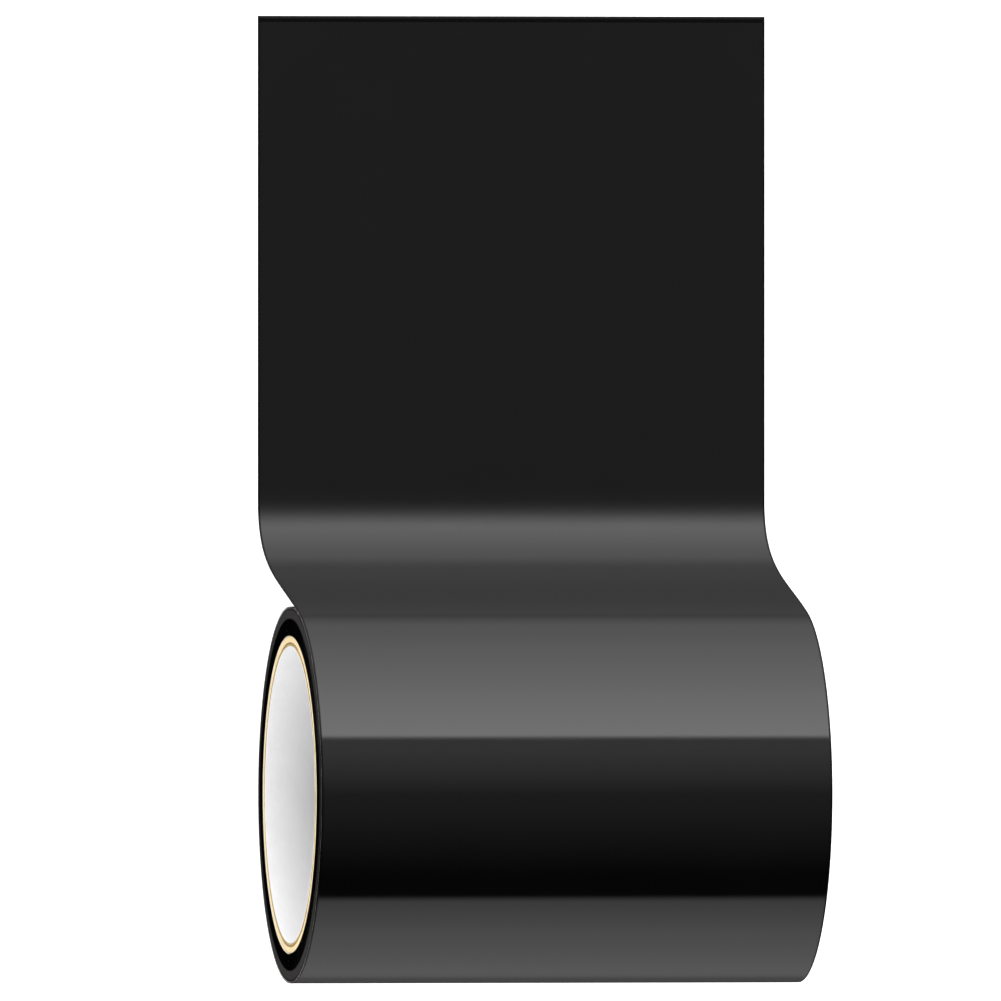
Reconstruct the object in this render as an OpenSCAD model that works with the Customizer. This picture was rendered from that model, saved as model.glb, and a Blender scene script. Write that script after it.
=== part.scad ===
// Roll of self-adhesive sign vinyl on a three-inch paper core, lying on a table with its free end paid out.
//
// Frame: the origin is the middle of the core's bore, +X runs along the roll's axis, +Y runs towards the
// free end of the sheet, and +Z is up. The web is two sheets: a release liner, and on it the vinyl film with
// its adhesive coat. It leaves the roll over the top, comes down on the +Y side and lies flat.
//
// Around the roll, an angle is measured from +Y towards +Z. Going outwards along the web, it falls.

/* [Core] */
// Diameter of the core's bore
bore_d = 76.2; // [70:0.1:80]
// Thickness of the white ply that lines the bore
white_ply_t = 0.4; // [0.3:0.05:0.8]
// Thickness of one kraft ply
kraft_ply_t = 0.5; // [0.3:0.05:0.7]

/* [Web] */
// Width of the sheets and length of the core
web_w = 134; // [60:1:300]
// Thickness of the film with its adhesive coat
film_t = 0.09; // [0.07:0.02:0.15]
// Thickness of the release liner
liner_t = 0.136; // [0.08:0.004:0.2]
// Air left between one turn and the next
turn_gap = 0.01; // [0.01:0.004:0.05]
// Full turns wound under the outermost one
turns = 30; // [4:1:40]
// Radial play of the outermost turn, which the rest of the roll turns in
wrap_play = 0.15; // [0.1:0.05:0.5]

/* [Start tape] */
// Thickness of the tape that holds the web's inner end to the core
tape_t = 0.05; // [0.03:0.01:0.1]
// Width of the tape, measured around the core
tape_w = 25; // [12:1:50]

/* [Run off the roll] */
// Angle at which the web leaves the roll
leave_angle = 16; // [5:1:25]
// Distance from the roll's axis at which the web is flat on the table
foot_y = 76; // [74:0.5:110]
// Reach of the bend's handle where the web leaves the roll
leave_reach = 32; // [12:1:40]
// Reach of the bend's handle where the web meets the table
foot_reach = 18; // [8:1:22]

/* [Free end] */
// Length that grows as the roll pays out
payout_l = 49; // [45:1:80]
// Length between the paid-out length and the line that the end lifts about
tail_l = 20; // [10:1:40]
// Length of the end that lifts
end_l = 57.3; // [50:0.1:120]
// Length of film that peels back from the end
tab_l = 32; // [20:1:40]

/* [Hidden] */
$fn = 180;

// Flat pieces of a curved sheet
bend_steps = 32;

kraft_plies = 5;
bore_r = bore_d / 2;
core_r = bore_r + white_ply_t + kraft_plies * kraft_ply_t;

web_t = liner_t + film_t;
pitch = web_t + turn_gap;
// The two halves of a turn have centres this far to either side of the axis, which makes the turns a spiral.
centre_shift = pitch / 4;

// Inner radius of the first half turn
wind_r = core_r + tape_t + turn_gap + centre_shift;
// Inner radius where the wound part ends, and where the outermost turn begins over it
wound_end_r = wind_r + turns * pitch;
wrap_r = wound_end_r + web_t + wrap_play;
// Inner radius where the outermost turn leaves the roll
leave_r = wrap_r + pitch;
// Height of the table, which the bottom of the outermost turn touches
table_z = -(wrap_r + pitch / 2 + web_t);

payout_end_y = foot_y + payout_l;
hinge_y = payout_end_y + tail_l;
end_y = hinge_y + end_l;
tab_y = end_y - tab_l;

kraft_light = [0.93, 0.84, 0.64];
kraft_dark = [0.70, 0.60, 0.42];
film_black = [0.03, 0.03, 0.03];
liner_white = [0.93, 0.91, 0.86];
tape_cream = [0.88, 0.86, 0.78];

// Puts a shape drawn around +Z around the roll's axis, with its own +X on the roll's +Y.
module around_axis(shift = 0)
    translate([0, shift, 0])
        rotate([90, 0, 90])
            children();

// Part of a ring of rectangular section, from +X round to the given angle.
module arc_wall(r, t, span)
    rotate_extrude(angle = span)
        translate([r, -web_w / 2])
            square([t, web_w]);

module tube_wall(r, t)
    around_axis()
        arc_wall(r, t, 360);

// Arcs above the axis have their centre on the +Y side, and arcs below it on the -Y side.
module upper_arc_from_front(r, t, span)
    around_axis(centre_shift)
        arc_wall(r, t, span);

module upper_arc_from_back(r, t, span)
    around_axis(centre_shift)
        mirror([1, 0, 0])
            arc_wall(r, t, span);

module lower_half(r, t)
    around_axis(-centre_shift)
        mirror([0, 1, 0])
            arc_wall(r, t, 180);

// One sheet of the wound part. "inset" is its distance from the web's inner face.
module wound_sheet(inset, t) {
    for (turn = [0 : turns - 1]) {
        upper_arc_from_front(wind_r + turn * pitch + inset, t, 180);
        lower_half(wind_r + (turn + 0.5) * pitch + inset, t);
    }
    upper_arc_from_back(wound_end_r + inset, t, 180 - leave_angle);
}

module outer_wrap_sheet(inset, t) {
    upper_arc_from_front(wrap_r + inset, t, leave_angle);
    lower_half(wrap_r + pitch / 2 + inset, t);
    upper_arc_from_back(leave_r + inset, t, 180 - leave_angle);
}

// The web's inner face between the roll and the table is one cubic curve, as [y, z].
leave_out = [cos(leave_angle), sin(leave_angle)];
leave_ahead = [sin(leave_angle), -cos(leave_angle)];
bend_0 = [centre_shift, 0] + leave_r * leave_out;
bend_1 = bend_0 + leave_reach * leave_ahead;
bend_3 = [foot_y, table_z];
bend_2 = bend_3 - [foot_reach, 0];

function bend_point(s) =
    pow(1 - s, 3) * bend_0 + 3 * pow(1 - s, 2) * s * bend_1 + 3 * (1 - s) * pow(s, 2) * bend_2
    + pow(s, 3) * bend_3;
function bend_ahead(s) =
    pow(1 - s, 2) * (bend_1 - bend_0) + 2 * (1 - s) * s * (bend_2 - bend_1) + pow(s, 2) * (bend_3 - bend_2);
function bend_out(s) = let (d = bend_ahead(s)) [-d[1], d[0]] / norm(d);
function bend_line(inset, steps) = [for (i = steps) bend_point(i / bend_steps) + inset * bend_out(i / bend_steps)];

module runoff_sheet(inset, t)
    rotate([90, 0, 90])
        linear_extrude(web_w, center = true)
            polygon(concat(
                bend_line(inset, [0 : bend_steps]),
                bend_line(inset + t, [bend_steps : -1 : 0])
            ));

module flat_sheet(from, to, inset, t)
    translate([-web_w / 2, from, table_z + inset])
        cube([web_w, to - from, t]);

module core_white_ply()
    color("white")
        tube_wall(bore_r, white_ply_t);

// The second kraft ply is darker.
module core_kraft_ply(n)
    color(n == 2 ? kraft_dark : kraft_light)
        tube_wall(bore_r + white_ply_t + (n - 1) * kraft_ply_t, kraft_ply_t);

module start_tape()
    color(tape_cream)
        around_axis()
            mirror([1, 0, 0])
                arc_wall(core_r, tape_t, tape_w / core_r * 180 / PI);

module wound_liner()
    color(liner_white)
        wound_sheet(0, liner_t);

module wound_film()
    color(film_black)
        wound_sheet(liner_t, film_t);

module outer_wrap_liner()
    color(liner_white)
        outer_wrap_sheet(0, liner_t);

module outer_wrap_film()
    color(film_black)
        outer_wrap_sheet(liner_t, film_t);

module runoff_liner()
    color(liner_white)
        runoff_sheet(0, liner_t);

module runoff_film()
    color(film_black)
        runoff_sheet(liner_t, film_t);

module payout_liner()
    color(liner_white)
        flat_sheet(foot_y, payout_end_y, 0, liner_t);

module payout_film()
    color(film_black)
        flat_sheet(foot_y, payout_end_y, liner_t, film_t);

module tail_liner()
    color(liner_white)
        flat_sheet(payout_end_y, hinge_y, 0, liner_t);

module tail_film()
    color(film_black)
        flat_sheet(payout_end_y, hinge_y, liner_t, film_t);

module tail_end_liner()
    color(liner_white)
        flat_sheet(hinge_y, end_y, 0, liner_t);

module tail_end_film()
    color(film_black)
        flat_sheet(hinge_y, tab_y, liner_t, film_t);

module film_tab()
    color(film_black)
        flat_sheet(tab_y, end_y, liner_t, film_t);

core_white_ply();
for (n = [1 : kraft_plies])
    core_kraft_ply(n);
start_tape();
wound_liner();
wound_film();
outer_wrap_liner();
outer_wrap_film();
runoff_liner();
runoff_film();
payout_liner();
payout_film();
tail_liner();
tail_film();
tail_end_liner();
tail_end_film();
film_tab();
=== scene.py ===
import math
from collections import namedtuple

import bmesh
import bpy
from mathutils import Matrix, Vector, noise


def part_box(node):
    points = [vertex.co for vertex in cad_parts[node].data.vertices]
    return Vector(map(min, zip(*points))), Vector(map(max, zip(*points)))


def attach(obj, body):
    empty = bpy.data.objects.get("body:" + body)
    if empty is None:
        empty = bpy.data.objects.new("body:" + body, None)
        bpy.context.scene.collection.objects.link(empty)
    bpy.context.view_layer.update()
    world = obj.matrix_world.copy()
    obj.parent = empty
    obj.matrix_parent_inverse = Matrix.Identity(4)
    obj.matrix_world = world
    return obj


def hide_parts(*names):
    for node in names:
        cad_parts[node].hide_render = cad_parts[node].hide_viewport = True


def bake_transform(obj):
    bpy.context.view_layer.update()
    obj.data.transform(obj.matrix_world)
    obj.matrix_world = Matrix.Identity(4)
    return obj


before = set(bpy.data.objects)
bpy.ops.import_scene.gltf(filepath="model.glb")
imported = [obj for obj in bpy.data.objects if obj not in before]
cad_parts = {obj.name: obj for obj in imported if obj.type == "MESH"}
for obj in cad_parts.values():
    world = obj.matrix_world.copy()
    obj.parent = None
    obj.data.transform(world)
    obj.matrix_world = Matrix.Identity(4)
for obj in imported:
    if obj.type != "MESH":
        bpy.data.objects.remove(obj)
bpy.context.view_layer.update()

# Everything is in metres, in the frame of the CAD model: +X along the roll's axis, +Y towards the free end,
# +Z up.
MM = 0.001


# ---------------------------------------------------------------------------------------------------
# Sizes, read from the frame
# ---------------------------------------------------------------------------------------------------

def low(node):
    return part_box(node)[0]


def high(node):
    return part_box(node)[1]


HALF_WIDTH = high("tail_liner").x
TABLE_Z = low("tail_liner").z
LINER_T = high("tail_liner").z - TABLE_Z
FILM_T = high("tail_film").z - low("tail_film").z
WEB_T = LINER_T + FILM_T

PLIES = ["core_white_ply"] + [f"core_kraft_ply_{n}" for n in range(1, 6)]
CORE_R = high(PLIES[-1]).z
WHITE_PLY_T = 0.4 * MM
BORE_R = high(PLIES[0]).z - WHITE_PLY_T

# The two halves of each turn are arcs with their centres CENTRE_SHIFT to either side of the axis.
TURN_GAP = 0.01 * MM
PITCH = WEB_T + TURN_GAP
CENTRE_SHIFT = PITCH / 4
LEAVE_R = -TABLE_Z - WEB_T + PITCH / 2
WRAP_R = LEAVE_R - PITCH
WOUND_END_R = high("wound_film").z - WEB_T
TAPE_R = -low("start_tape").y
TURNS = round((WOUND_END_R - TAPE_R) / PITCH)
WIND_R = WOUND_END_R - TURNS * PITCH
LEAVE_ANGLE = math.asin(high("runoff_liner").z / (LEAVE_R + LINER_T))

# Along the flat part
FOOT_Y = low("payout_film").y
PAYOUT_END_Y = high("payout_film").y
HINGE_Y = low("tail_end_film").y
TAB_Y = low("film_tab").y
END_Y = high("film_tab").y
TAIL_SEAM_Y = (PAYOUT_END_Y + HINGE_Y) / 2
TAB_SEAM_Y = TAB_Y - 5 * MM

# Handles of the cubic curve that the web follows between the roll and the table
LEAVE_REACH = 32 * MM
FOOT_REACH = 18 * MM

# How far the outermost turn is drawn inside its bearing in the CAD, and its cuts inside the roll's ends
WRAP_TIGHTER = 0.1 * MM
WRAP_INSET = 0.045 * MM

# At the free end the knife has pressed the web down over this width, by this depth, and a line across the
# film is dulled from this far before the end
END_PRESS_WIDTH = 0.7 * MM
END_PRESS_DEPTH = 0.085 * MM
END_DULL_LINE = 1.6 * MM


# ---------------------------------------------------------------------------------------------------
# Paths of the web: stations on its inner face, from the core outwards
# ---------------------------------------------------------------------------------------------------

# Stations in half a turn of the wound part
WIND_STEPS = 60

# A place on the inner face, the direction out of it, how much thinner the sheet is there, and whether the
# film's face is dulled from there to the next place
Station = namedtuple("Station", "y z out_y out_z drop dull", defaults=(0, False))


def arc(centre_y, radius, start, end, step=math.radians(2)):
    count = max(2, round(abs(end - start) / step))
    angles = [start + (end - start) * i / count for i in range(count + 1)]
    return [
        Station(centre_y + radius * math.cos(a), radius * math.sin(a), math.cos(a), math.sin(a))
        for a in angles
    ]


def wound_path():
    """The spiral from the core to where the outermost turn begins over it."""
    path = []
    step = math.pi / WIND_STEPS
    for turn in range(TURNS):
        path += arc(CENTRE_SHIFT, WIND_R + turn * PITCH, math.pi, 0, step)[:-1]
        path += arc(-CENTRE_SHIFT, WIND_R + (turn + 0.5) * PITCH, 0, -math.pi, step)[:-1]
    return path + arc(CENTRE_SHIFT, WOUND_END_R, math.pi, LEAVE_ANGLE, step)


def wrap_path():
    """The outermost turn. It lies tight on the roll, and eases out over its last quarter."""
    path = arc(CENTRE_SHIFT, WRAP_R, LEAVE_ANGLE, 0)[:-1]
    path += arc(-CENTRE_SHIFT, WRAP_R + PITCH / 2, 0, -math.pi)[:-1]
    path += arc(CENTRE_SHIFT, LEAVE_R, math.pi, LEAVE_ANGLE)
    tight = []
    for i, s in enumerate(path):
        inwards = WRAP_TIGHTER * min(1, 4 * (1 - i / (len(path) - 1)))
        tight.append(s._replace(y=s.y - s.out_y * inwards, z=s.z - s.out_z * inwards))
    return tight


def bend_path(count=64):
    """The run down from the roll to the table, a cubic curve."""
    out = Vector((math.cos(LEAVE_ANGLE), math.sin(LEAVE_ANGLE)))
    ahead = Vector((out.y, -out.x))
    p0 = Vector((CENTRE_SHIFT, 0)) + LEAVE_R * out
    p1 = p0 + LEAVE_REACH * ahead
    p3 = Vector((FOOT_Y, TABLE_Z))
    p2 = p3 - Vector((FOOT_REACH, 0))
    path = []
    for i in range(count + 1):
        s = i / count
        r = 1 - s
        p = r**3 * p0 + 3 * r * r * s * p1 + 3 * r * s * s * p2 + s**3 * p3
        d = (r * r * (p1 - p0) + 2 * r * s * (p2 - p1) + s * s * (p3 - p2)).normalized()
        path.append(Station(p.x, p.y, -d.y, d.x))
    return path


def flat_path(start, end, count, rounded_end=False):
    """The run on the table. A rounded end is pressed down by the knife, and the film is dulled in a line
    behind that, where the cutting rule has held it."""
    places = [(start + (end - start) * i / count, 0, False) for i in range(count + 1)]
    if rounded_end:
        edge = knife_edge(END_PRESS_WIDTH, END_PRESS_DEPTH)
        places[-1:] = [(end - END_DULL_LINE, 0, True)] + [(end - back, drop, False) for back, drop in edge]
    return [Station(y, TABLE_Z, 0, 1, drop, dull) for y, drop, dull in places]


def knife_edge(width=0.5 * MM, drop=0.05 * MM, count=5):
    """(distance from the cut, how much thinner) of a sheet that the knife has pressed down at its cut."""
    steps = [i / count for i in range(count + 1)]
    return [(width * (1 - t), drop * (1 - math.sqrt(1 - t * t))) for t in steps]


# ---------------------------------------------------------------------------------------------------
# Meshes
# ---------------------------------------------------------------------------------------------------

def mesh_object(name, points, faces, face_materials, materials, sharp=math.radians(35)):
    mesh = bpy.data.meshes.new(name)
    mesh.from_pydata(points, [], faces)
    for material in materials:
        mesh.materials.append(material)
    mesh.polygons.foreach_set("material_index", face_materials)
    work = bmesh.new()
    work.from_mesh(mesh)
    bmesh.ops.recalc_face_normals(work, faces=work.faces)
    work.to_mesh(mesh)
    work.free()
    mesh.shade_smooth()
    mesh.set_sharp_from_angle(angle=sharp)
    made = bpy.data.objects.new(name, mesh)
    bpy.context.scene.collection.objects.link(made)
    return made


def loft(sections, closed):
    """Faces between rings of points, all with the same count, and each face's place in its ring."""
    count = len(sections[0])
    last = len(sections) if closed else len(sections) - 1
    faces, places = [], []
    for i in range(last):
        here, there = i * count, (i + 1) % len(sections) * count
        for k in range(count):
            n = (k + 1) % count
            faces.append((here + k, here + n, there + n, there + k))
            places.append(k)
    return faces, places


def outer_columns():
    """(x, how much thinner) across the outer face of a sheet, from its left cut to its right cut."""
    left = [(-HALF_WIDTH + back, drop) for back, drop in reversed(knife_edge())]
    middle = [(HALF_WIDTH * x, 0) for x in (-0.8, -0.5, -0.2, 0.2, 0.5, 0.8)]
    return left + middle + [(-x, drop) for x, drop in reversed(left)]


def ribbon(name, path, inset, thickness, columns, materials, wander=None):
    """A closed strip along the path, inset from the web's inner face. Its cut faces get the second material.
    The strips beside its long cuts and its dulled line get the third, if there is one."""
    # (x, height over the inset, share of the path's thinning)
    ring = [(x, thickness - drop, 1) for x, drop in columns]
    ring += [(columns[-1][0], 0, 0), (columns[0][0], 0, 0)]
    sections = []
    for i, s in enumerate(path):
        points = []
        for x, height, shrinks in ring:
            reach = inset + height - s.drop * shrinks
            side = wander(i, x > 0) if wander and abs(x) == HALF_WIDTH else 0
            points.append((x - math.copysign(side, x), s.y + s.out_y * reach, s.z + s.out_z * reach))
        sections.append(points)
    faces, places = loft(sections, closed=False)
    strips = list(zip(columns, columns[1:]))
    cuts = (len(strips), len(strips) + 2)
    beside_cuts = [k for k, (a, b) in enumerate(strips) if a[0] * b[0] > (0.99 * HALF_WIDTH) ** 2]
    kinds = []
    for n, k in enumerate(places):
        in_dull_line = k < len(strips) and path[n // len(ring)].dull
        dull = len(materials) > 2 and (k in beside_cuts or in_dull_line)
        kinds.append(1 if k in cuts else 2 if dull else 0)
    last = (len(sections) - 1) * len(ring)
    faces += [tuple(range(len(ring))), tuple(last + k for k in range(len(ring)))]
    kinds += [1, 1]
    return mesh_object(name, [p for points in sections for p in points], faces, kinds, materials)


def tube(name, inner, outer, seed, materials, segments=192):
    """A paper tube around the roll's axis, with softened and slightly uneven cut ends."""
    soft = min(0.12 * MM, (outer - inner) / 4)
    lengthwise = [HALF_WIDTH * x for x in (-0.9, -0.6, -0.2, 0.2, 0.6, 0.9)]
    end = [(HALF_WIDTH - soft, inner), (HALF_WIDTH, inner + soft), (HALF_WIDTH, (inner + outer) / 2),
           (HALF_WIDTH, outer - soft), (HALF_WIDTH - soft, outer)]
    ring = [(x, inner) for x in lengthwise] + end
    ring += [(x, outer) for x in reversed(lengthwise)] + [(-x, r) for x, r in reversed(end)]
    sections = []
    for i in range(segments):
        a = 2 * math.pi * i / segments
        points = []
        for x, r in ring:
            if abs(x) > 0.95 * HALF_WIDTH:
                around = Vector((3 * math.cos(a), 3 * math.sin(a), seed + math.copysign(20, x)))
                fine = noise.noise(around) * 0.05 + noise.noise(around * 9 + Vector((0, 0, r * 900))) * 0.03
                x -= math.copysign((0.08 + fine) * MM, x)
            points.append((x, r * math.cos(a), r * math.sin(a)))
        sections.append(points)
    faces, places = loft(sections, closed=True)
    first_end = len(lengthwise)
    ends = set(range(first_end, first_end + 4)) | set(range(2 * first_end + 5, 2 * first_end + 9))
    kinds = [1 if k in ends and len(materials) > 1 else 0 for k in places]
    return mesh_object(name, [p for points in sections for p in points], faces, kinds, materials)


# ---------------------------------------------------------------------------------------------------
# Materials
# ---------------------------------------------------------------------------------------------------

def add(tree, kind, inputs=None, **settings):
    """A node with its settings, and its inputs by name or number. A socket is linked, and a value is set."""
    made = tree.nodes.new(kind)
    for key, value in settings.items():
        setattr(made, key, value)
    for key, value in (inputs or {}).items():
        if isinstance(value, bpy.types.NodeSocket):
            tree.links.new(value, made.inputs[key])
        else:
            made.inputs[key].default_value = value
    return made


def math_node(tree, operation, *values):
    return add(tree, "ShaderNodeMath", dict(enumerate(values)), operation=operation).outputs[0]


def noise_at(tree, place, scale, detail=3.0, roughness=0.5):
    inputs = {"Vector": place, "Scale": scale, "Detail": detail, "Roughness": roughness}
    return add(tree, "ShaderNodeTexNoise", inputs).outputs["Fac"]


def fade(tree, value, start, end, to_start=0.0, to_end=1.0):
    inputs = {"Value": value, "From Min": start, "From Max": end, "To Min": to_start, "To Max": to_end}
    return add(tree, "ShaderNodeMapRange", inputs, clamp=True).outputs[0]


def mix(tree, factor, a, b):
    made = add(tree, "ShaderNodeMix", data_type="RGBA")
    colour_sockets = {"Factor": 0, "A": 6, "B": 7}
    for key, value in (("Factor", factor), ("A", a), ("B", b)):
        socket = made.inputs[colour_sockets[key]]
        if isinstance(value, bpy.types.NodeSocket):
            tree.links.new(value, socket)
        else:
            socket.default_value = value
    return made.outputs[2]


def grey(value):
    return (value, value, value, 1)


def start_material(name):
    """A new material, its node tree, its shader, and the place on the object."""
    material = bpy.data.materials.new(name)
    material.use_nodes = True
    tree = material.node_tree
    shader = tree.nodes["Principled BSDF"]
    place = add(tree, "ShaderNodeTexCoord").outputs["Object"]
    return material, tree, shader, place


def bump(tree, shader, height, distance):
    made = add(tree, "ShaderNodeBump", {"Height": height, "Distance": distance, "Strength": 1.0})
    tree.links.new(made.outputs[0], shader.inputs["Normal"])


def axis_distance(tree, place):
    parts = add(tree, "ShaderNodeSeparateXYZ", {0: place}).outputs
    squares = [math_node(tree, "MULTIPLY", part, part) for part in (parts[1], parts[2])]
    return math_node(tree, "SQRT", math_node(tree, "ADD", *squares))


def gloss_vinyl():
    """The film's face: glossy black, with a faint orange peel, handling haze, edges that the knife has
    dulled, and painted shade that darkens its colour beside the long cuts. Wound tight on the roll it is
    like a mirror. Off the roll it has relaxed and its gloss is softer, most of all at the foot of the bend."""
    material, tree, shader, place = start_material("gloss_vinyl")
    shader.inputs["IOR"].default_value = 1.5
    parts = add(tree, "ShaderNodeSeparateXYZ", {0: place}).outputs
    across = math_node(tree, "ABSOLUTE", parts[0])
    cut = fade(tree, across, HALF_WIDTH - 0.9 * MM, HALF_WIDTH - 0.5 * MM)
    cloud = noise_at(tree, place, 40.0, 2.0)
    face = mix(tree, fade(tree, cloud, 0.3, 0.7), (0.0014, 0.0012, 0.0013, 1), (0.0017, 0.0015, 0.0016, 1))
    # Painted shade: within 0.9 mm of the long cuts the base colour is darkened towards black
    tree.links.new(mix(tree, cut, face, grey(0.0003)), shader.inputs["Base Color"])
    haze = fade(tree, noise_at(tree, place, 110.0, 5.0, 0.65), 0.35, 0.75, 0.0, 0.03)
    relaxed = fade(tree, axis_distance(tree, place), LEAVE_R + WEB_T, LEAVE_R + 5 * MM)
    in_bend = fade(tree, parts[1], FOOT_Y - 2 * MM, FOOT_Y + 4 * MM, 1.0, 0.0)
    at_foot = fade(tree, parts[1], FOOT_Y - 10 * MM, FOOT_Y - 5 * MM, 0.0, 0.24)
    strained = math_node(tree, "MULTIPLY", relaxed, math_node(tree, "MULTIPLY", in_bend, at_foot))
    gloss = math_node(tree, "ADD", math_node(tree, "MULTIPLY", relaxed, 0.105), strained)
    worn = math_node(tree, "ADD", haze, math_node(tree, "MULTIPLY", cut, 0.05))
    rough = math_node(tree, "ADD", math_node(tree, "ADD", gloss, worn), 0.055)
    tree.links.new(rough, shader.inputs["Roughness"])
    bump(tree, shader, noise_at(tree, place, 700.0, 2.0), 0.0012 * MM)
    return material


def dulled_vinyl():
    """The film that a knife or a cutting rule has pressed and dulled: half a millimetre beside its long
    cuts, and a line across its free end."""
    material, tree, shader, place = start_material("dulled_vinyl")
    shader.inputs["IOR"].default_value = 1.22
    burr = noise_at(tree, place, 1800.0, 4.0, 0.6)
    tree.links.new(mix(tree, burr, grey(0.0006), grey(0.0022)), shader.inputs["Base Color"])
    tree.links.new(fade(tree, burr, 0.3, 0.7, 0.16, 0.30), shader.inputs["Roughness"])
    bump(tree, shader, burr, 0.003 * MM)
    return material


def cut_edge():
    """The cut edges of film and liner: matt black, and greyer over the last turns, less so near the roll's
    top and bottom and beyond the wound turns.
    """
    material, tree, shader, place = start_material("cut_edge")
    shader.inputs["Specular IOR Level"].default_value = 0.0
    shader.inputs["Roughness"].default_value = 0.8
    radius = axis_distance(tree, place)
    # Greyer over the last 2.8 mm of turns; the mix is weaker near the roll's top and bottom and beyond the
    # wound turns
    last_turns_grey = fade(tree, radius, WOUND_END_R - 2.8 * MM, WOUND_END_R - 2.2 * MM)
    on_roll = fade(tree, radius, LEAVE_R - 1.3 * MM, LEAVE_R - 0.3 * MM, 1.0, 0.2)
    rings = add(tree, "ShaderNodeCombineXYZ", {0: math_node(tree, "MULTIPLY", radius, 1 / PITCH)}).outputs[0]
    turn_tone = fade(tree, noise_at(tree, rings, 0.9, 2.0), 0.3, 0.7, 0.6, 1.25)
    speckle = fade(tree, noise_at(tree, place, 1500.0, 4.0, 0.7), 0.3, 0.75, 0.8, 1.15)
    side = math_node(tree, "ABSOLUTE", add(tree, "ShaderNodeSeparateXYZ", {0: place}).outputs[1])
    uneven = math_node(tree, "MULTIPLY", speckle, fade(tree, side, 12 * MM, 42 * MM, 0.4, 1.0))
    tone = math_node(tree, "MULTIPLY", turn_tone, uneven)
    amount = math_node(tree, "MULTIPLY", math_node(tree, "MULTIPLY", last_turns_grey, on_roll), tone)
    tree.links.new(mix(tree, amount, grey(0.0006), (0.038, 0.036, 0.036, 1)), shader.inputs["Base Color"])
    bump(tree, shader, noise_at(tree, place, 2500.0, 3.0), 0.01 * MM)
    return material


def release_paper():
    """The liner's faces: warm white siliconised paper with a soft sheen and a faint formation cloud."""
    material, tree, shader, place = start_material("release_paper")
    shader.inputs["IOR"].default_value = 1.45
    cloud = noise_at(tree, place, 260.0, 5.0, 0.6)
    fibre = noise_at(tree, place, 2600.0, 3.0, 0.6)
    face = mix(tree, fade(tree, cloud, 0.35, 0.65), (0.80, 0.78, 0.71, 1), (0.86, 0.84, 0.78, 1))
    tree.links.new(face, shader.inputs["Base Color"])
    tree.links.new(fade(tree, fibre, 0.3, 0.7, 0.32, 0.46), shader.inputs["Roughness"])
    bump(tree, shader, fibre, 0.004 * MM)
    return material


def paper_ply(name, light, dark, seam_lead, seam_turn, painted_inside_shade=0.0):
    """A ply of a spiral-wound paper tube: fibres, clouds, and the butted seam of its strip, which runs as a
    helix. The last argument is how much darker its colour is painted away from its open ends: painted shade
    inside the bore."""
    material, tree, shader, place = start_material(name)
    shader.inputs["Specular IOR Level"].default_value = 0.2
    stretched = add(tree, "ShaderNodeMapping", {"Vector": place, "Scale": (1.0, 0.35, 0.35)}).outputs[0]
    fibre = noise_at(tree, stretched, 1400.0, 6.0, 0.65)
    cloud = noise_at(tree, place, 160.0, 4.0, 0.6)
    blotches = math_node(tree, "MULTIPLY", cloud, 0.4)
    tone = math_node(tree, "ADD", math_node(tree, "MULTIPLY", fibre, 0.6), blotches)
    parts = add(tree, "ShaderNodeSeparateXYZ", {0: place}).outputs
    angle = math_node(tree, "DIVIDE", math_node(tree, "ARCTAN2", parts[2], parts[1]), 2 * math.pi)
    helix = math_node(tree, "ADD", math_node(tree, "DIVIDE", parts[0], seam_lead), angle)
    along = math_node(tree, "FRACT", math_node(tree, "ADD", helix, seam_turn + 10))
    off_seam = math_node(tree, "ABSOLUTE", math_node(tree, "SUBTRACT", along, 0.5))
    seam = fade(tree, off_seam, 0.0012, 0.003, 0.5, 0.0)
    face = mix(tree, fade(tree, tone, 0.38, 0.62), dark, light)
    # A darker tone for the helical seam, and also for painted shade inside the bore
    seam_and_painted_shade = tuple(0.55 * c for c in dark[:3]) + (1,)
    across = math_node(tree, "ABSOLUTE", parts[0])
    # Painted shade: away from the tube's open ends the colour is mixed towards the darker tone
    inside = fade(tree, across, HALF_WIDTH, HALF_WIDTH - 16 * MM, 0.0, painted_inside_shade)
    face_with_painted_shade = mix(tree, inside, face, seam_and_painted_shade)
    tree.links.new(mix(tree, seam, face_with_painted_shade, seam_and_painted_shade), shader.inputs["Base Color"])
    tree.links.new(fade(tree, fibre, 0.3, 0.7, 0.7, 0.9), shader.inputs["Roughness"])
    height = math_node(tree, "SUBTRACT", math_node(tree, "MULTIPLY", fibre, 0.25), seam)
    bump(tree, shader, height, 0.08 * MM)
    return material


def cream_tape():
    """Crepe paper tape: cream, with fine ridges across its length."""
    material, tree, shader, place = start_material("cream_tape")
    shader.inputs["Roughness"].default_value = 0.6
    stretched = add(tree, "ShaderNodeMapping", {"Vector": place, "Scale": (0.15, 1.0, 1.0)}).outputs[0]
    ridge = noise_at(tree, stretched, 2200.0)
    face = mix(tree, fade(tree, ridge, 0.3, 0.7), (0.62, 0.56, 0.42, 1), (0.74, 0.69, 0.54, 1))
    tree.links.new(face, shader.inputs["Base Color"])
    bump(tree, shader, ridge, 0.02 * MM)
    return material


VINYL = gloss_vinyl()
DULLED_VINYL = dulled_vinyl()
CUT_EDGE = cut_edge()
LINER = release_paper()
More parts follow.
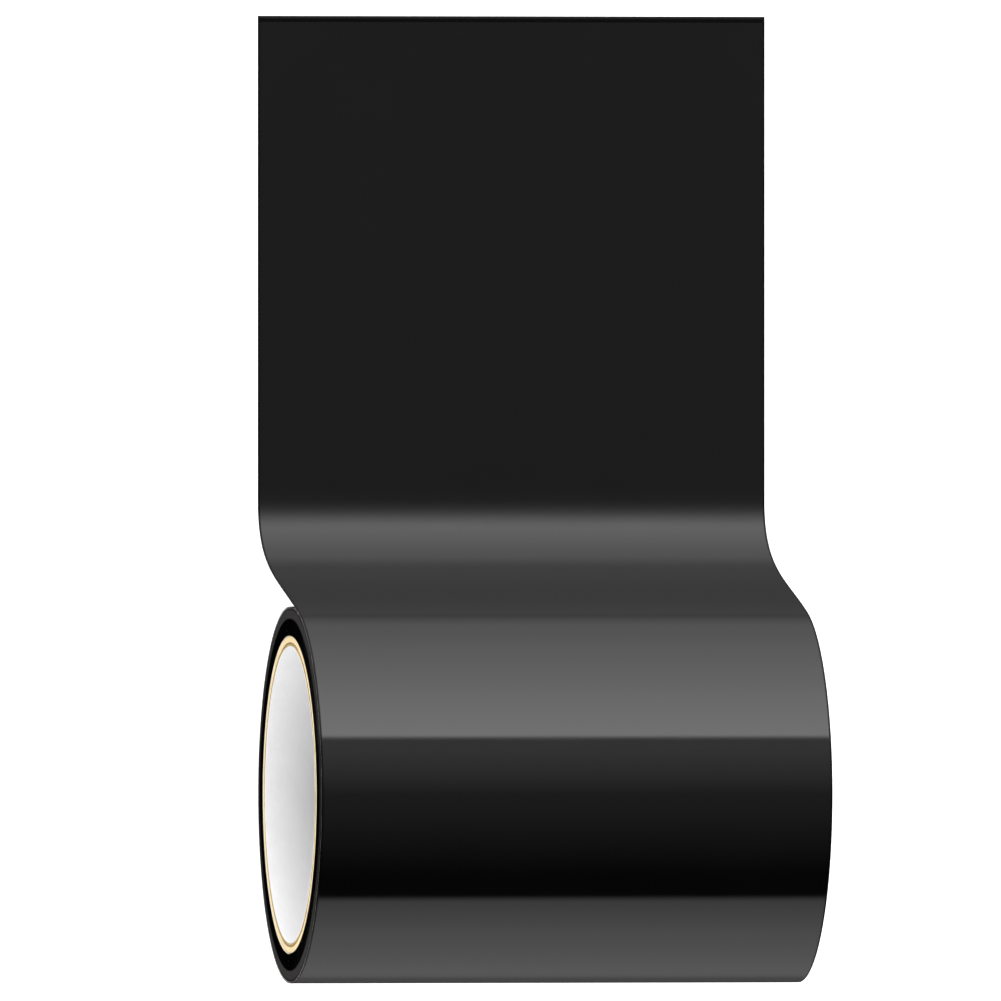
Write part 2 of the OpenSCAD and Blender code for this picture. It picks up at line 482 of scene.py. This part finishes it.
# The white ply gets painted shade, its colour darkened away from the bore's open ends
WHITE_PLY = paper_ply("white_ply", (0.82, 0.82, 0.825, 1), (0.78, 0.78, 0.79, 1), 0.110, 0.859, painted_inside_shade=0.6)
KRAFT_DARK = paper_ply("kraft_dark", (0.36, 0.265, 0.12, 1), (0.26, 0.18, 0.08, 1), 0.112, 0.4)
KRAFT_MIDDLE = paper_ply("kraft_middle", (0.54, 0.42, 0.22, 1), (0.43, 0.32, 0.155, 1), 0.108, 0.1)
KRAFT_LIGHT = paper_ply("kraft_light", (0.86, 0.71, 0.44, 1), (0.78, 0.63, 0.37, 1), 0.114, 0.7)
TAPE = cream_tape()


# ---------------------------------------------------------------------------------------------------
# The core
# ---------------------------------------------------------------------------------------------------

def make_core():
    inner = BORE_R
    papers = [WHITE_PLY, KRAFT_MIDDLE, KRAFT_DARK, KRAFT_LIGHT, KRAFT_LIGHT, KRAFT_LIGHT]
    for n, (node, paper) in enumerate(zip(PLIES, papers)):
        outer = high(node).z
        ply = tube(node.replace("core", "tube"), inner, outer, n * 3.7, [paper])
        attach(ply, "roll")
        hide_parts(node)
        inner = outer


def make_start_tape():
    span = math.asin(high("start_tape").z / TAPE_R)
    path = arc(0, CORE_R, math.pi, math.pi - span)
    columns = [(HALF_WIDTH * x, 0) for x in (-1, -0.6, -0.2, 0.2, 0.6, 1)]
    tape = ribbon("crepe_tape", path, 0, TAPE_R - CORE_R, columns, [TAPE, TAPE])
    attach(tape, "roll")
    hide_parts("start_tape")


# ---------------------------------------------------------------------------------------------------
# The web
# ---------------------------------------------------------------------------------------------------


def telescoping(i, right):
    """How far a turn's cut lies inside the roll's end, by its place along the path. Outer turns lie a little
    deeper, and none winds quite level."""
    turn = i / (2 * WIND_STEPS)
    slow = Vector((turn * 0.11, 40.0 if right else 30.0, 0))
    return (0.01 + 0.001 * turn + 0.002 * noise.noise(slow)) * MM


def wrap_inset(i, _):
    """The outermost turn lies as deep as the turns under it, and comes level as it leaves the roll."""
    return WRAP_INSET * min(1, max(0, 3 - i / WIND_STEPS))


def sheet_of(name, path, is_film, nodes, columns, wander=None, film_t=FILM_T):
    inset, thickness = (LINER_T, film_t) if is_film else (0, LINER_T)
    face = VINYL if is_film else LINER
    materials = [face, CUT_EDGE, DULLED_VINYL] if is_film else [face, CUT_EDGE]
    made = ribbon(name, path, inset, thickness, columns, materials, wander)
    made.visible_glossy = False
    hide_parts(*nodes)
    return made


def make_wound():
    """The turns under the outermost one. The film is thickened by most of the gap, so that turns nearly
    touch."""
    plain = [(-HALF_WIDTH, 0), (HALF_WIDTH, 0)]
    film_t = FILM_T + 0.9 * TURN_GAP
    for is_film, name, node in ((False, "liner_turns", "wound_liner"), (True, "film_turns", "wound_film")):
        path = wound_path()
        made = sheet_of(name, path, is_film, [node], plain, telescoping, film_t)
        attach(made, "roll")


def make_run_off():
    """The outermost turn, the run down to the table and the part that pays out."""
    path = wrap_path()[:-1] + bend_path()[:-1] + flat_path(FOOT_Y, PAYOUT_END_Y, 60)[:-1]
    path += flat_path(PAYOUT_END_Y, TAIL_SEAM_Y, 2)
    for sheet, rests_on in (("liner", "film_turns"), ("film", "liner_run_off")):
        name = f"{sheet}_run_off"
        nodes = [f"{part}_{sheet}" for part in ("outer_wrap", "runoff", "payout", "tail")]
        made = sheet_of(name, path, sheet == "film", nodes, outer_columns(), wrap_inset)
        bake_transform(made)


def make_free_end():
    """The end that lifts, and the film's tab that peels back from it."""
    lift_end = HINGE_Y + 16 * MM
    peel_end = TAB_Y + 12 * MM
    liner_path = flat_path(TAIL_SEAM_Y, HINGE_Y, 2)[:-1] + flat_path(HINGE_Y, lift_end, 24)[:-1]
    film_path = liner_path + flat_path(lift_end, TAB_SEAM_Y, 2)
    liner_path = liner_path + flat_path(lift_end, END_Y, 8, rounded_end=True)
    tab_path = flat_path(TAB_SEAM_Y, TAB_Y, 2)[:-1] + flat_path(TAB_Y, peel_end, 24)[:-1]
    tab_path += flat_path(peel_end, END_Y, 6, rounded_end=True)

    columns = outer_columns()
    liner = sheet_of("liner_end", liner_path, False, ["tail_end_liner"], columns)
    film = sheet_of("film_end", film_path, True, ["tail_end_film"], columns)
    tab = sheet_of("film_tab_end", tab_path, True, ["film_tab"], columns)
    for made in (liner, film):
        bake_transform(made)
    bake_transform(tab)


# ---------------------------------------------------------------------------------------------------
# Floor, light and camera
# ---------------------------------------------------------------------------------------------------

def make_floor():
    """A white table top. It glows evenly for the camera, so that it shows no shadows."""
    half = 20.0
    z = TABLE_Z - 0.02 * MM
    corners = [(-half, -half, z), (half, -half, z), (half, half, z), (-half, half, z)]
    material, tree, shader, place = start_material("white_table")
    tone = mix(tree, noise_at(tree, place, 30.0), grey(0.48), grey(0.52))
    tree.links.new(tone, shader.inputs["Base Color"])
    shader.inputs["Roughness"].default_value = 0.9
    shader.inputs["Emission Color"].default_value = grey(1.0)
    seen = add(tree, "ShaderNodeLightPath").outputs["Is Camera Ray"]
    tree.links.new(seen, shader.inputs["Emission Strength"])
    floor = mesh_object("table_top", corners, [(0, 1, 2, 3)], [0], [material])
    floor.visible_glossy = False


# Brightness of the studio around the roll's axis, by the angle from straight up towards +Y, in degrees: a
# strip softbox from 36 degrees down past the horizon on the +Y side, a dim ceiling, and a low reflector on
# the -Y side
STUDIO = [
    (-180, 0.0), (-155, 0.18), (-144, 0.45), (-131, 0.70), (-111, 1.05), (-94, 1.25), (-79, 1.12),
    (-68.8, 0.95), (-64.5, 0.0), (-50, 0.0), (-38, 0.05), (-24, 0.12), (-10, 0.2), (0, 0.23), (12, 0.5),
    (28, 0.75), (34.6, 0.72), (36.2, 4.1), (48, 3.75), (61, 3.35), (72, 2.85), (85, 2.35), (101, 1.7),
    (115, 1.1), (126, 0.78), (135, 0.42), (141, 0.24), (147, 0.22), (153, 0.14), (158, 0.11), (170, 0.04),
    (180, 0.0),
]


def make_studio():
    world = bpy.data.worlds.new("studio")
    world.use_nodes = True
    bpy.context.scene.world = world
    tree = world.node_tree
    background = tree.nodes["Background"]
    direction = add(tree, "ShaderNodeTexCoord").outputs["Generated"]
    parts = add(tree, "ShaderNodeSeparateXYZ", {0: direction}).outputs
    angle = math_node(tree, "ARCTAN2", parts[1], parts[2])
    ramp = add(tree, "ShaderNodeValToRGB", {"Fac": fade(tree, angle, -math.pi, math.pi)})
    brightest = max(value for _, value in STUDIO)
    stops = ramp.color_ramp.elements
    for i, (degrees, value) in enumerate(STUDIO):
        stop = stops[i] if i < 2 else stops.new(1)
        stop.position = (degrees + 180) / 360
        level = value / brightest
        stop.color = (level, level * 0.985, level * 0.985, 1)
    off_centre = math_node(tree, "ABSOLUTE", math_node(tree, "SUBTRACT", parts[0], 0.17))
    beside = fade(tree, off_centre, 0.12, 0.6, brightest, 0.3 * brightest)
    scaled = add(tree, "ShaderNodeVectorMath", {0: ramp.outputs[0], 3: beside}, operation="SCALE").outputs[0]
    seen = add(tree, "ShaderNodeLightPath").outputs["Is Camera Ray"]
    tree.links.new(mix(tree, seen, scaled, grey(1.6)), background.inputs["Color"])


def make_soft_box(name, place, size, energy):
    """A soft box that faces the roll. The film doesn't mirror it, because what it mirrors is the studio."""
    data = bpy.data.lights.new(name, "AREA")
    data.shape = "RECTANGLE"
    data.size, data.size_y = size
    data.energy = energy
    light = bpy.data.objects.new(name, data)
    light.location = place
    light.rotation_euler = Vector(place).to_track_quat("Z", "Y").to_euler()
    light.visible_camera = False
    light.visible_glossy = False
    bpy.context.scene.collection.objects.link(light)


def make_lights():
    """Soft boxes for the roll's ends and the inside of its core."""
    elevation = math.radians(83)
    distance = 1.5
    overhead = (-distance * math.cos(elevation), 0, distance * math.sin(elevation))
    make_soft_box("overhead_softbox", overhead, (1.8, 0.47), 11)
    make_soft_box("left_front_softbox", (-0.9, 1.1, 0.25), (0.9, 0.9), 12)
    make_soft_box("left_back_softbox", (-0.9, -1.1, 0.25), (0.9, 0.9), 17)
    make_soft_box("right_softbox", (1.3, -0.2, 0.5), (1.2, 1.2), 22)


def make_camera():
    """A long lens, tilted about the direction of the free end so that the roll's left end shows."""
    tilt = math.radians(10.03)
    lens_mm = 1500
    sensor_mm = 36
    view_width = 260.1 * MM
    along, across = 76.2 * MM, -11.35 * MM
    distance = view_width * lens_mm / sensor_mm
    data = bpy.data.cameras.new("camera")
    data.lens, data.sensor_width = lens_mm, sensor_mm
    data.clip_start, data.clip_end = 0.1, 100
    camera = bpy.data.objects.new("camera", data)
    camera.rotation_euler = (0, -tilt, 0)
    right = Vector((math.cos(tilt), 0, math.sin(tilt)))
    back = Vector((-math.sin(tilt), 0, math.cos(tilt)))
    mid_height = Vector((0, 0, -25 * MM))
    aim = mid_height - right * mid_height.dot(right) + right * across + Vector((0, along, 0))
    camera.location = aim + back * distance
    bpy.context.scene.collection.objects.link(camera)
    bpy.context.scene.camera = camera


make_core()
make_start_tape()
make_wound()
make_run_off()
make_free_end()
make_floor()
make_studio()
make_lights()
make_camera()

scene = bpy.context.scene
scene.view_settings.view_transform = "Standard"
scene.view_settings.look = "None"
